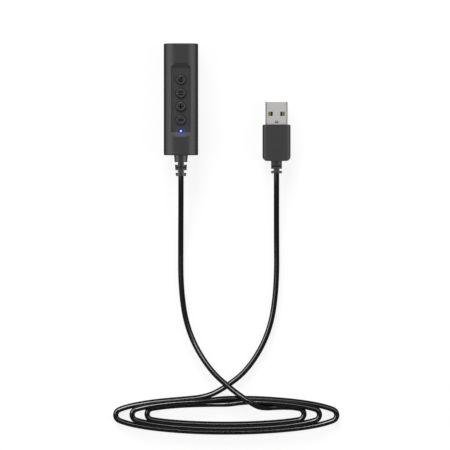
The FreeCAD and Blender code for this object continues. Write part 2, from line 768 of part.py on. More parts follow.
def oval(length, width, tip_radius, x, y):
    """A long oval of four tangent arcs: a tight one round each tip and a flat bow along each side."""
    tip = f"({length} / 2 - {tip_radius})"
    half = f"({width} / 2)"
    squares = f"{tip} * {tip} + {half} * {half} - {tip_radius} * {tip_radius}"
    bow = f"(({squares}) / (2 * ({half} - {tip_radius})))"
    along = f"({tip} + {tip_radius} * {tip} / ({bow} - {tip_radius}))"
    across = f"({tip_radius} * ({bow} - {half}) / ({bow} - {tip_radius}))"
    corners = [(f"{x} + {along}", f"{y} - {across}"), (f"{x} + {along}", f"{y} + {across}"),
               (f"{x} - {along}", f"{y} + {across}"), (f"{x} - {along}", f"{y} - {across}")]
    return corners, {0: tip_radius, 1: bow, 2: tip_radius, 3: bow}


def cord_coil():
    """The outer shape of the cord's three turns, which lie on and beside each other."""
    outside = oval("coil_length", "coil_width", "coil_tip_radius", "coil_x", "coil_y")
    eye = oval("eye_length", "eye_width", "eye_tip_radius", "eye_x", "eye_y")
    finish("cord_coil", padded("coil_form", "XY_Plane", [outside, eye], "coil_height", both_ways=False))


def cord_lead(node, start, route):
    """A round lead along straight runs joined by tangent arcs."""
    points = [Vector(*[value(text) for text in start])] + [Vector(*point) for point in route]
    edges = []
    at = points[0]
    radii = []
    for before, corner, after in zip(points, points[1:], points[2:]):
        into, out = (before - corner), (after - corner)
        reach = BEND_SHARE * min(into.Length, out.Length)
        half_turn = (math.pi - into.getAngle(out)) / 2
        radius = reach / math.tan(half_turn)
        radii.append(radius)
        into.normalize()
        out.normalize()
        first, last = corner + into * reach, corner + out * reach
        inward = (into + out).normalize()
        middle = corner + inward * (radius / math.cos(half_turn) - radius)
        edges.append(Part.LineSegment(at, first).toShape())
        edges.append(Part.Arc(first, middle, last).toShape())
        at = last
    edges.append(Part.LineSegment(at, points[-1]).toShape())
    path = Part.Wire(edges)
    radius = value("cord_radius")
    ring = Part.Wire([Part.makeCircle(radius, points[0], points[1] - points[0])])
    tube = path.makePipe(Part.Face(ring))
    expected = math.pi * radius ** 2 * path.Length
    if abs(tube.Volume - expected) > 0.01 * expected:
        raise RuntimeError(f"{node} has volume {tube.Volume:.0f}, not {expected:.0f}")
    print(f"{node}: length {path.Length:.1f}, bend radii", [round(r) for r in radii])
    lead = doc.addObject("Part::Feature", f"{node}_tube")
    lead.Shape = tube
    finish(node, lead)


def export_parts():
    """Check every object and write each finished sub-part to its own file."""
    doc.recompute()
    for thing in doc.Objects:
        if "Invalid" in thing.State or "Error" in thing.State:
            raise RuntimeError(f"{thing.Name} did not build: {thing.State}")
    for thing in finished:
        if thing.Shape.isNull() or not thing.Shape.isValid():
            raise RuntimeError(f"{thing.Label} is not a valid shape")
    os.makedirs("parts", exist_ok=True)
    for thing in finished:
        thing.Shape.exportStep(f"parts/{thing.Label}.step")
        box = thing.Shape.BoundBox
        print(f"{thing.Label}: {len(thing.Shape.Solids)} solids, {thing.Shape.Volume:.1f} mm3,",
              [round(side, 2) for side in (box.XMin, box.XMax, box.YMin, box.YMax, box.ZMin, box.ZMax)])


fill_sheet()
housing_outer = outer_form()
housing_cavity = housing_form("housing_cavity", "wall")
front_shell(housing_outer, housing_cavity)
back_shell(housing_outer, housing_cavity)
buttons_and_switches()
status_light()
circuit_board()
board_screws()
headset_socket()
control_relief()
usb_plug()
cord_lead("control_cord_lead", ("0", "-end_y - relief_length", "axis_height"), CONTROL_ROUTE)
cord_coil()
cord_lead("plug_cord_lead", ("plug_x", "plug_rear_y - plug_relief_length", "plug_axis_height"), PLUG_ROUTE)
export_parts()
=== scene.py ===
"""Dresses an inline headset volume control, its coiled cord and its USB plug.

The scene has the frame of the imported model: the control lies on a table with its buttons up (+Z) and its
headset socket towards +Y, and the origin is under the middle of its housing. The cord and the studio are
written in metres, and the sizes of the other parts, of edges and of patterns in millimetres.
"""

import logging
import math
from collections.abc import Sequence
from dataclasses import dataclass, field
from enum import Enum

import bmesh
import bpy
from bmesh.types import BMesh
from bpy.types import Material, Node, NodeSocket, NodeTree, Object
from mathutils import Matrix, Vector


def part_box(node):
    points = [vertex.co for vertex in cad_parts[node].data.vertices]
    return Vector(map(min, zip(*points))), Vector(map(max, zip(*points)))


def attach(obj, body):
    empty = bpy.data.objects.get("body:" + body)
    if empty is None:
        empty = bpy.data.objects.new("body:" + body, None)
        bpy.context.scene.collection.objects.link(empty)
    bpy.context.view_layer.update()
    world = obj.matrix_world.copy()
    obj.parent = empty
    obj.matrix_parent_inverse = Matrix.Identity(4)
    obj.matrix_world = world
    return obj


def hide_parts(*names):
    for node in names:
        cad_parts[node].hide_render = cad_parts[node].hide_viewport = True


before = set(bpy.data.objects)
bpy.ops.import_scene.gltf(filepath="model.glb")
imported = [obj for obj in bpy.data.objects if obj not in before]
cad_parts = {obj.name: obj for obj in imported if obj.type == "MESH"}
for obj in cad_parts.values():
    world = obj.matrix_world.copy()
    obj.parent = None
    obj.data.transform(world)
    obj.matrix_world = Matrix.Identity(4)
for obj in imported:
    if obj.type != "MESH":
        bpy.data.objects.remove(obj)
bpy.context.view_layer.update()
LOG = logging.getLogger("volume_control")

MM = 0.001
POSE_BODY = "control"

# An edge bent further than SHARP_EDGE shows as one, and faces bent less than FLAT_ANGLE are joined.
# Corners nearer than WELD become one, and an edge that rises less than LEVEL lies level.
SHARP_EDGE = math.radians(17)
FLAT_ANGLE = math.radians(0.4)
EDGE_STEPS = 2
WELD = 0.002 * MM
LEVEL = 1e-9

# Where the plug's middle lies along X, in millimetres.
PLUG_X = 51.8

PLASTIC_IOR = 1.53
POLYCARBONATE_IOR = 1.58

# The colour sockets of a Mix node. It has others of the same names, so they go by number.
MIX_FROM = 6
MIX_TO = 7
MIX_RESULT = 2

Pair = tuple[float, float]
Triple = tuple[float, float, float]
Route = tuple[Triple, ...]
Colour = tuple[float, float, float, float]
Inputs = dict[str | int, NodeSocket | Sequence[float] | float]


def linear(code: str) -> Colour:
    """Turns a written colour into the values that a shader takes.

    Args:
        code: the colour as six sRGB hex digits after a hash sign.

    Returns:
        Linear red, green and blue, and an alpha of 1.
    """
    shares = [int(code[i : i + 2], 16) / 255 for i in (1, 3, 5)]
    red, green, blue = (s / 12.92 if s <= 0.04045 else ((s + 0.055) / 1.055) ** 2.4 for s in shares)
    return (red, green, blue, 1.0)


def per_mm(size: float) -> float:
    """Pattern scale at which a texture's features are about this many millimetres across."""
    return 1 / (size * MM)


def feed(node: Node, inputs: Inputs) -> None:
    """Gives a node's inputs their values and links.

    Args:
        node: the node.
        inputs: what each input takes, by its name or number: a value, or the output that feeds it.
    """
    for key, value in inputs.items():
        if isinstance(value, NodeSocket):
            node.id_data.links.new(value, node.inputs[key])
        else:
            node.inputs[key].default_value = value


def add_node(tree: NodeTree, kind: str, inputs: Inputs | None = None, **settings: str | float) -> Node:
    """Adds a node to a tree, with its settings, its values and its links.

    Args:
        tree: the node tree.
        kind: the node's type, without the ShaderNode that all of them start with.
        inputs: what its inputs take, in the form that feed asks for.
        settings: the node's own properties.

    Returns:
        The new node.
    """
    node = tree.nodes.new(f"ShaderNode{kind}")
    for name, value in settings.items():
        setattr(node, name, value)
    feed(node, inputs or {})
    return node


def paint_side_shade(
    tree: NodeTree, place: NodeSocket, plain: NodeSocket, colour: str, middle: float, span: Pair
) -> NodeSocket:
    """Paints shade towards the two long sides of a piece, turning its colour into a darker one there.

    Args:
        tree: the material's node tree.
        place: the object coordinates.
        plain: the colour so far.
        colour: the painted shade's colour at the sides.
        middle: where the piece's middle is along X, in millimetres.
        span: how far from the middle the change starts and ends, in millimetres.

    Returns:
        The new colour.
    """
    across = add_node(tree, "SeparateXYZ", {"Vector": place}).outputs["X"]
    out = add_node(tree, "Math", {0: across, 1: middle * MM}, operation="SUBTRACT")
    away = add_node(tree, "Math", {0: out.outputs["Value"]}, operation="ABSOLUTE")
    near, far = (distance * MM for distance in span)
    share = add_node(tree, "MapRange", {"Value": away.outputs["Value"], "From Min": near, "From Max": far})
    ends = {"Factor": share.outputs["Result"], MIX_FROM: plain, MIX_TO: linear(colour)}
    return add_node(tree, "Mix", ends, data_type="RGBA").outputs[MIX_RESULT]


def curved_bar(shape: BMesh, section: Pair, centre: Vector, radius: float, span: Pair, steps: int) -> None:
    """Adds a level, curved bar of rectangular section.

    Args:
        shape: the mesh that it goes into.
        section: the bar's width and height in millimetres.
        centre: the curve's centre in millimetres.
        radius: its radius in millimetres.
        span: the angles from X at which it starts and ends, in degrees.
        steps: how many straight lengths make the curve.
    """
    width, height = section
    start, end = (math.radians(angle) for angle in span)
    around = (*(centre * MM), 0)
    corners = bmesh.ops.create_grid(shape, x_segments=1, y_segments=1, size=0.5)["verts"]
    bmesh.ops.scale(shape, verts=corners, vec=(width * MM, height * MM, 1))
    bmesh.ops.rotate(shape, verts=corners, matrix=Matrix.Rotation(math.pi / 2, 3, "X"))
    bmesh.ops.translate(shape, verts=corners, vec=(radius * MM, 0, 0))
    bmesh.ops.rotate(shape, verts=corners, matrix=Matrix.Rotation(start, 3, "Z"))
    bmesh.ops.translate(shape, verts=corners, vec=around)
    face = corners[0].link_faces[0]
    bmesh.ops.spin(
        shape,
        geom=[face, *face.edges, *face.verts],
        axis=(0, 0, 1),
        cent=around,
        angle=end - start,
        steps=steps,
    )


@dataclass(frozen=True)
class Finish:
    """What every finish shares: its name, its colour and how rough it is.

    Sizes and depths of patterns are in millimetres. A gloss span is what a pattern adds to the roughness,
    at its lowest and its highest.
    """

    name: str
    colour: str
    roughness: float

    def material(self) -> Material:
        """Makes the finish's material, or finds the one that was made before.

        Returns:
            The material.
        """
        made = bpy.data.materials.get(self.name)
        if made is None:
            made = bpy.data.materials.new(self.name)
            made.use_nodes = True
            tree = made.node_tree
            surface = tree.nodes["Principled BSDF"]
            feed(surface, {"Base Color": linear(self.colour), "Roughness": self.roughness})
            place = add_node(tree, "TexCoord").outputs["Object"]
            feed(surface, self.dress(tree, place))
        return made

    def dress(self, tree: NodeTree, place: NodeSocket) -> Inputs:
        """Adds the finish's own pattern.

        Args:
            tree: the material's node tree.
            place: the object coordinates.

        Returns:
            What the surface shader's inputs take.
        """
        raise NotImplementedError


@dataclass(frozen=True)
class MouldedPlastic(Finish):
    """Injection-moulded plastic with the fine grain that a spark-eroded mould leaves.

    The grain spreads the gloss into a soft sheen along rounded edges, which fades where a face turns away
    from the eye, and a faint cloudiness keeps a large face from looking flat. A real grain is about a tenth
    of a millimetre across, and it is drawn coarser so that it shows. The steep long sides can be painted
    darker, a painted shade: the flank shade's colour is reached between two distances along X from the
    piece's middle.
    """

    cloud: str = "#3a3a3b"
    cloud_size: float = 7.0
    grain: float = 0.35
    strength: float = 0.4
    depth: float = 0.012
    gloss_span: Pair = (-0.06, 0.06)
    fade_span: Pair = (0.28, 0.5)
    specular: float = 0.15
    painted_flank_shade: str = ""
    middle: float = 0.0
    flank_shade_span: Pair = (7.4, 9.2)

    def dress(self, tree: NodeTree, place: NodeSocket) -> Inputs:
        """Clouds the colour, paints shade on the flanks, varies the gloss and raises the grain.

        Args:
            tree: the material's node tree.
            place: the object coordinates.

        Returns:
            What the surface shader's inputs take.
        """
        cloud = add_node(tree, "TexNoise", {"Vector": place, "Scale": per_mm(self.cloud_size), "Detail": 3.0})
        grain = add_node(tree, "TexNoise", {"Vector": place, "Scale": per_mm(self.grain), "Detail": 2.0})
        ends = {"Factor": cloud.outputs["Fac"], MIX_FROM: linear(self.colour), MIX_TO: linear(self.cloud)}
        tint = add_node(tree, "Mix", ends, data_type="RGBA").outputs[MIX_RESULT]
        smooth, rough = (self.roughness + change for change in self.gloss_span)
        gloss = add_node(tree, "MapRange", {"Value": grain.outputs["Fac"], "To Min": smooth, "To Max": rough})
        slant = add_node(tree, "LayerWeight")
        start, end = self.fade_span
        dull = add_node(
            tree, "MapRange", {"Value": slant.outputs["Facing"], "From Min": start, "From Max": end}
        )
        both = {0: gloss.outputs["Result"], 1: dull.outputs["Result"]}
        sheen = add_node(tree, "Math", both, operation="MAXIMUM")
        relief = add_node(
            tree,
            "Bump",
            {"Height": grain.outputs["Fac"], "Strength": self.strength, "Distance": self.depth * MM},
        )
        # A painted shade on the flanks: the colour turns darker towards the long sides.
        if self.painted_flank_shade:
            tint = paint_side_shade(tree, place, tint, self.painted_flank_shade, self.middle, self.flank_shade_span)
        return {
            "Base Color": tint,
            "Roughness": sheen.outputs["Value"],
            "Normal": relief.outputs["Normal"],
            "Specular IOR Level": self.specular,
            "IOR": PLASTIC_IOR,
        }


@dataclass(frozen=True)
class LitPlastic(MouldedPlastic):
    """The moulded housing, with a painted glow of the status light on the panel round its pipe.

    Close round the pipe the plastic is painted darker, a painted shade. The painted shade and the painted
    glow each fade out between two distances from centre, the pipe's end, which is in metres.
    """

    centre: Triple = (0.0, 0.0, 0.0)
    glow: str = "#00236c"
    glow_span: Pair = (0.6, 3.5)
    pipe_shade: str = "#06080f"
    pipe_shade_span: Pair = (1.0, 2.0)

    def dress(self, tree: NodeTree, place: NodeSocket) -> Inputs:
        """Adds the painted shade round the pipe and the painted glow to the moulded plastic's own pattern.

        Args:
            tree: the material's node tree.
            place: the object coordinates.

        Returns:
            What the surface shader's inputs take.
        """
        inputs = super().dress(tree, place)
        away = add_node(tree, "VectorMath", {0: place, 1: self.centre}, operation="DISTANCE").outputs["Value"]
        # Painted glow: emission on the panel that fades out away from the pipe.
        start, end = (distance * MM for distance in self.glow_span)
        fade = add_node(
            tree,
            "MapRange",
            {"Value": away, "From Min": start, "From Max": end, "To Min": 1.0, "To Max": 0.0},
            interpolation_type="SMOOTHSTEP",
        )
        ends = {"Factor": fade.outputs["Result"], MIX_FROM: linear("#000000"), MIX_TO: linear(self.glow)}
        glow = add_node(tree, "Mix", ends, data_type="RGBA")
        # Painted shade: the plastic turns darker close round the pipe.
        near, far = (distance * MM for distance in self.pipe_shade_span)
        ring = add_node(tree, "MapRange", {"Value": away, "From Min": near, "From Max": far})
        ends = {"Factor": ring.outputs["Result"], MIX_FROM: linear(self.pipe_shade), MIX_TO: inputs["Base Color"]}
        pipe_shade = add_node(tree, "Mix", ends, data_type="RGBA")
        return inputs | {
            "Base Color": pipe_shade.outputs[MIX_RESULT],
            "Emission Color": glow.outputs[MIX_RESULT],
            "Emission Strength": 1.0,
        }


@dataclass(frozen=True)
class ExtrudedJacket(Finish):
    """Soft PVC drawn over the wires: smooth and glossy, with a slow orange-peel ripple in its highlights."""

    ripple: float = 2.4
    strength: float = 0.08
    depth: float = 0.02
    dust: float = 9.0
    gloss_span: Pair = (-0.03, 0.04)
    specular: float = 0.07

    def dress(self, tree: NodeTree, place: NodeSocket) -> Inputs:
        """Ripples the surface and lets dust dull it in patches.

        Args:
            tree: the material's node tree.
            place: the object coordinates.

        Returns:
            What the surface shader's inputs take.
        """
        ripple = add_node(tree, "TexNoise", {"Vector": place, "Scale": per_mm(self.ripple), "Detail": 1.0})
        dust = add_node(tree, "TexNoise", {"Vector": place, "Scale": per_mm(self.dust), "Detail": 4.0})
        smooth, rough = (self.roughness + change for change in self.gloss_span)
        gloss = add_node(tree, "MapRange", {"Value": dust.outputs["Fac"], "To Min": smooth, "To Max": rough})
        relief = add_node(
            tree,
            "Bump",
            {"Height": ripple.outputs["Fac"], "Strength": self.strength, "Distance": self.depth * MM},
        )
        return {
            "Roughness": gloss.outputs["Result"],
            "Normal": relief.outputs["Normal"],
            "Specular IOR Level": self.specular,
            "IOR": PLASTIC_IOR,
        }


@dataclass(frozen=True)
class RolledMetal(Finish):
    """Rolled or drawn metal, plain or plated, with fine streaks along one axis and a few duller patches.

    The streaks are drawn wider than real rolling marks, which are too fine to show. A folded shell's outer
    edges can get a painted shade, whose colour is reached from one distance to another out from the
    shell's middle.
    """

    streak: float = 0.12
    strength: float = 0.12
    depth: float = 0.01
    along: Triple = (1.0, 0.05, 1.0)
    gloss_span: Pair = (-0.08, 0.1)
    stain: str = "#9a9896"
    patch: float = 3.5
    patch_span: Pair = (0.45, 0.8)
    patch_share: float = 0.35
    painted_edge_shade: str = ""
    middle: float = 0.0
    edge_shade_span: Pair = (5.0, 6.0)

    def dress(self, tree: NodeTree, place: NodeSocket) -> Inputs:
        """Draws the streaks, the patches and the painted shade on the edges.

        Args:
            tree: the material's node tree.
            place: the object coordinates.

        Returns:
            What the surface shader's inputs take.
        """
        drawn = add_node(tree, "Mapping", {"Vector": place, "Scale": self.along})
        streaks = add_node(
            tree, "TexNoise", {"Vector": drawn.outputs["Vector"], "Scale": per_mm(self.streak), "Detail": 2.0}
        )
        patches = add_node(tree, "TexNoise", {"Vector": place, "Scale": per_mm(self.patch), "Detail": 3.0})
        start, end = self.patch_span
        share = add_node(
            tree,
            "MapRange",
            {"Value": patches.outputs["Fac"], "From Min": start, "From Max": end, "To Max": self.patch_share},
        )
        ends = {"Factor": share.outputs["Result"], MIX_FROM: linear(self.colour), MIX_TO: linear(self.stain)}
        tint = add_node(tree, "Mix", ends, data_type="RGBA").outputs[MIX_RESULT]
        smooth, rough = (self.roughness + change for change in self.gloss_span)
        gloss = add_node(
            tree, "MapRange", {"Value": streaks.outputs["Fac"], "To Min": smooth, "To Max": rough}
        )
        relief = add_node(
            tree,
            "Bump",
            {"Height": streaks.outputs["Fac"], "Strength": self.strength, "Distance": self.depth * MM},
        )
        # A painted shade on the outer edges: the colour turns darker towards the shell's long sides.
        if self.painted_edge_shade:
            tint = paint_side_shade(tree, place, tint, self.painted_edge_shade, self.middle, self.edge_shade_span)
        return {
            "Base Color": tint,
            "Roughness": gloss.outputs["Result"],
            "Normal": relief.outputs["Normal"],
            "Metallic": 1.0,
        }


@dataclass(frozen=True)
class LitPipe(Finish):
    """Clear polycarbonate with a blue light behind it: white-hot in the middle and deep blue at its rim.

    The core's colour turns into the rim's between two shares of the radius, round a centre in metres.
    """

    centre: Pair = (0.0, 0.0)
    radius: float = 0.65
    turn_shares: Pair = (0.4, 0.95)
    clearness: float = 0.4
    core: str = "#e6f5ff"
    rim: str = "#1a3488"

    def dress(self, tree: NodeTree, place: NodeSocket) -> Inputs:
        """Colours the light by its distance from the pipe's axis.

        Args:
            tree: the material's node tree.
            place: the object coordinates.

        Returns:
            What the surface shader's inputs take.
        """
        x, y = self.centre
        flat = add_node(
            tree, "Mapping", {"Vector": place, "Location": (-x, -y, 0.0), "Scale": (1.0, 1.0, 0.0)}
        )
        away = add_node(tree, "VectorMath", {0: flat.outputs["Vector"]}, operation="LENGTH")
        start, end = (share * self.radius * MM for share in self.turn_shares)
        share = add_node(
            tree,
            "MapRange",
            {"Value": away.outputs["Value"], "From Min": start, "From Max": end},
            interpolation_type="SMOOTHSTEP",
        )
        ends = {"Factor": share.outputs["Result"], MIX_FROM: linear(self.core), MIX_TO: linear(self.rim)}
        tint = add_node(tree, "Mix", ends, data_type="RGBA")
        return {
            "Emission Color": tint.outputs[MIX_RESULT],
            "Emission Strength": 1.0,
            "Transmission Weight": self.clearness,
            "IOR": POLYCARBONATE_IOR,
        }


@dataclass(frozen=True)
class SolderMask(Finish):
    """Green solder mask over a glass laminate: glossy, with the copper tracks showing through it, paler.

    The tracks' width, spacing along a row and rows apart are shares of a pitch.
    """

    track: str = "#2f7a4a"
    pitch: float = 10.0
    track_share: float = 0.012
    run_share: float = 0.42
    row_share: float = 0.13
    stagger: float = 0.37
    strength: float = 0.3
    depth: float = 0.035

    def dress(self, tree: NodeTree, place: NodeSocket) -> Inputs:
        """Draws the tracks and lifts them by the copper's thickness.

        Args:
            tree: the material's node tree.
            place: the object coordinates.

        Returns:
            What the surface shader's inputs take.
        """
        tracks = add_node(
            tree,
            "TexBrick",
            {
                "Vector": place,
                "Color1": linear(self.colour),
                "Color2": linear(self.colour),
                "Mortar": linear(self.track),
                "Scale": per_mm(self.pitch),
                "Mortar Size": self.track_share,
                "Brick Width": self.run_share,
                "Row Height": self.row_share,
            },
            offset=self.stagger,
        )
        relief = add_node(
            tree,
            "Bump",
            {"Height": tracks.outputs["Fac"], "Strength": self.strength, "Distance": self.depth * MM},
        )
        return {"Base Color": tracks.outputs["Color"], "Normal": relief.outputs["Normal"]}


@dataclass(frozen=True)
class WireInsulation(Finish):
    """Extruded PVC on the four wires: satin, each in its own colour, side by side along X."""

    pitch: float = 1.2
    ripple: float = 1.5
    strength: float = 0.2
    depth: float = 0.02
    colours: tuple[str, ...] = ("#b3261e", "#d9d9d4", "#1f7a3d", "#1b1b1c")

    def dress(self, tree: NodeTree, place: NodeSocket) -> Inputs:
        """Gives each wire its colour by where it lies.

        Args:
            tree: the material's node tree.
            place: the object coordinates.

        Returns:
            What the surface shader's inputs take.
        """
        sides = add_node(tree, "SeparateXYZ", {"Vector": place})
        span = self.pitch * MM * len(self.colours) / 2
        share = add_node(tree, "MapRange", {"Value": sides.outputs["X"], "From Min": -span, "From Max": span})
        bands = add_node(tree, "ValToRGB", {"Fac": share.outputs["Result"]})
        bands.color_ramp.interpolation = "CONSTANT"
        stops = bands.color_ramp.elements
        stops[0].color = linear(self.colours[0])
        stops[1].position = 1 / len(self.colours)
        stops[1].color = linear(self.colours[1])
        for i, code in enumerate(self.colours[2:], start=2):
            stops.new(i / len(self.colours)).color = linear(code)
        ripple = add_node(tree, "TexNoise", {"Vector": place, "Scale": per_mm(self.ripple)})
        relief = add_node(
            tree,
            "Bump",
            {"Height": ripple.outputs["Fac"], "Strength": self.strength, "Distance": self.depth * MM},
        )
        return {"Base Color": bands.outputs["Color"], "Normal": relief.outputs["Normal"]}


LIGHT_CENTRE = (0.0, -0.01725)
PANEL_FLOOR = 0.0129

HOUSING_ABS = LitPlastic(
    "ABS moulded housing",
    "#323233",
    0.36,
    cloud="#363637",
    # The colour below is a painted shade, darker towards the housing's long sides.
    painted_flank_shade="#0e0e0f",
    centre=(*LIGHT_CENTRE, PANEL_FLOOR),
)
BUTTON_ABS = MouldedPlastic("ABS satin buttons", "#303031", 0.32, cloud="#353536", grain=0.3, depth=0.006)
ICON_INK = MouldedPlastic(
    "Pad-printing ink", "#070708", 0.6, cloud="#0b0b0c", grain=0.2, depth=0.004, specular=0.05
)
RELIEF_TPE = MouldedPlastic(
    "TPE moulded strain relief", "#313132", 0.32, cloud="#363637", grain=0.5, specular=0.25
)
GRIP_PVC = MouldedPlastic(
    "PVC overmoulded grip",
    "#333334",
    0.4,
    cloud="#373738",
    grain=0.4,
    # The colour below is a painted shade, darker towards the grip's long sides.
    painted_flank_shade="#161617",
    middle=PLUG_X,
    flank_shade_span=(6.5, 7.6),
)
CORD_PVC = ExtrudedJacket("PVC extruded cord jacket", "#020202", 0.12)
SHELL_NICKEL = RolledMetal(
    "Nickel-plated rolled steel",
    "#a8a7a6",
    0.44,
    stain="#a6a4a2",
    # The colour below is a painted shade, darker towards the shell's outer edges.
    painted_edge_shade="#5f5d60",
    middle=PLUG_X,
    edge_shade_span=(4.9, 5.7),
)
CONTACT_GOLD = RolledMetal("Gold-flashed phosphor bronze", "#83834a", 0.3, stain="#6c6b3a")
SCREW_STEEL = RolledMetal("Zinc-plated screw steel", "#a9aaae", 0.36, streak=0.2, along=(1.0, 1.0, 0.3))
# The colour below is a painted shadow, standing for the shade in the slits of the shell's seam lock.
LOCK_SLIT_SHADOW = RolledMetal("Painted shadow in the seam lock slits", "#3c3b3a", 0.45, stain="#2c2b2b")
SWITCH_STEEL = RolledMetal("Stamped stainless steel", "#bdbdbd", 0.3)
CAN_ALUMINIUM = RolledMetal("Drawn aluminium", "#c4c6c8", 0.28, along=(1.0, 1.0, 0.08))
PLUNGER_POM = MouldedPlastic("POM plunger", "#343435", 0.38, cloud="#2c2c2d")
CHIP_EPOXY = MouldedPlastic("Epoxy moulding compound", "#1d1d1f", 0.55, cloud="#232325", grain=0.15)
SOCKET_PBT = MouldedPlastic("PBT socket body", "#1c1c1d", 0.45, cloud="#202021")
TONGUE_PBT = MouldedPlastic("PBT tongue", "#262627", 0.42, cloud="#2c2c2d")
INNER_PE = MouldedPlastic("Polyethylene inner mould", "#d9d6cc", 0.5, cloud="#cfcbc0")
PIPE_PC = LitPipe("Polycarbonate light pipe", "#141c40", 0.12, centre=LIGHT_CENTRE)
CHIP_LENS = LitPipe("Light-emitting chip", "#f2f4ff", 0.3, centre=LIGHT_CENTRE, radius=1.1)
BOARD_FR4 = SolderMask("FR-4 board with solder mask", "#14532d", 0.3)
WIRE_PVC = WireInsulation("PVC wire insulation", "#b3261e", 0.35)


class SubAssembly:
    """A group of pieces that are built, dressed and tied to a body together."""

    def keep(self, node: str, finish: Finish) -> None:
        """Leaves a CAD node as it is and gives it a finish.

        Args:
            node: the CAD node.
            finish: its finish.
        """
        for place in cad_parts[node].material_slots:
            place.material = finish.material()
        LOG.info("%s: kept, in %s", node, finish.name)

    def add(
        self,
        shape: BMesh,
        name: str,
        finish: Finish,
        material_slot: str,
        body: str = POSE_BODY,
        replaced: Sequence[str] = (),
    ) -> Object:
        """Turns a finished shape into a piece of the object.

        Args:
            shape: the piece's mesh, in its place. It is freed here.
            name: the piece's name.
            finish: its finish.
            material_slot: the record's slot for it, which is not used.
            body: the body that carries it.
            replaced: the CAD nodes that it stands for.

        Returns:
            The new piece.
        """
        for face in shape.faces:
            face.smooth = True
        for edge in shape.edges:
            edge.smooth = edge.calc_face_angle(math.pi) < SHARP_EDGE
        mesh = bpy.data.meshes.new(name)
        shape.to_mesh(mesh)
        shape.free()
        mesh.materials.append(finish.material())
        piece = bpy.data.objects.new(name, mesh)
        bpy.context.scene.collection.objects.link(piece)
        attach(piece, body)
        if replaced:
            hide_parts(*replaced)
        LOG.info("%s: %d faces, in %s", name, len(mesh.polygons), finish.name)
        return piece

    def soften(self, node: str, name: str, finish: Finish, material_slot: str, edge: float) -> Object:
        """Puts a copy of a CAD node with softened edges in its place.

        Args:
            node: the CAD node.
            name: the new piece's name.
            finish: its finish.
            material_slot: the record's slot for it.
            edge: width of the softened edges in millimetres.

        Returns:
            The new piece.
        """
        shape = bmesh.new()
        shape.from_mesh(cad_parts[node].data)
        bmesh.ops.remove_doubles(shape, verts=shape.verts, dist=WELD)
        bmesh.ops.dissolve_limit(
            shape, angle_limit=FLAT_ANGLE, verts=shape.verts, edges=shape.edges, delimit={"NORMAL"}
        )
        piece = self.add(shape, name, finish, material_slot, replaced=[node])
        bevel = piece.modifiers.new("softened edges", "BEVEL")
        bevel.width = edge * MM
        bevel.segments = EDGE_STEPS
        bevel.limit_method = "ANGLE"
        bevel.angle_limit = SHARP_EDGE
        bevel.harden_normals = True
        bevel.use_clamp_overlap = True
        return piece


@dataclass
class Housing(SubAssembly):
    """The two moulded shells, which meet on a lip half-way up."""

    edge: float = 0.12

    def build(self) -> None:
        """Softens both shells' edges and dresses the screws."""
        self.soften("front_shell", "front_shell_moulding", HOUSING_ABS, "housing", self.edge)
        self.soften("back_shell", "back_shell_moulding", HOUSING_ABS, "housing", self.edge)
        self.keep("board_screws", SCREW_STEEL)


class Sign(Enum):
    """The plain sign on each button."""

    MUTED_MICROPHONE = "mic_mute"
    MUTED_SPEAKER = "speaker_mute"
    PLUS = "volume_up"
    MINUS = "volume_down"


# The signs' strokes, in millimetres from the middle of the cap: both ends of each straight one, and the
# centre, the radius and the two end angles in degrees of each curved one.
STRAIGHT_STROKES = {
    Sign.MUTED_MICROPHONE: (((-1.25, -0.55), (0.4, 1.3)), ((0.4, -0.35), (0.4, 0.5))),
    Sign.MUTED_SPEAKER: (((-1.2, -0.75), (1.0, -0.75)),),
    Sign.PLUS: (((-1.25, 0.1), (1.1, 0.1)), ((-0.1, -1.05), (-0.1, 1.2))),
    Sign.MINUS: (((-1.2, 0.0), (1.1, 0.0)),),
}
CURVED_STROKES = {
    Sign.MUTED_MICROPHONE: (((0.1, 0.1), 1.05, (215, 330)),),
    Sign.MUTED_SPEAKER: (((-0.1, -0.75), 1.6, (45, 135)),),
}


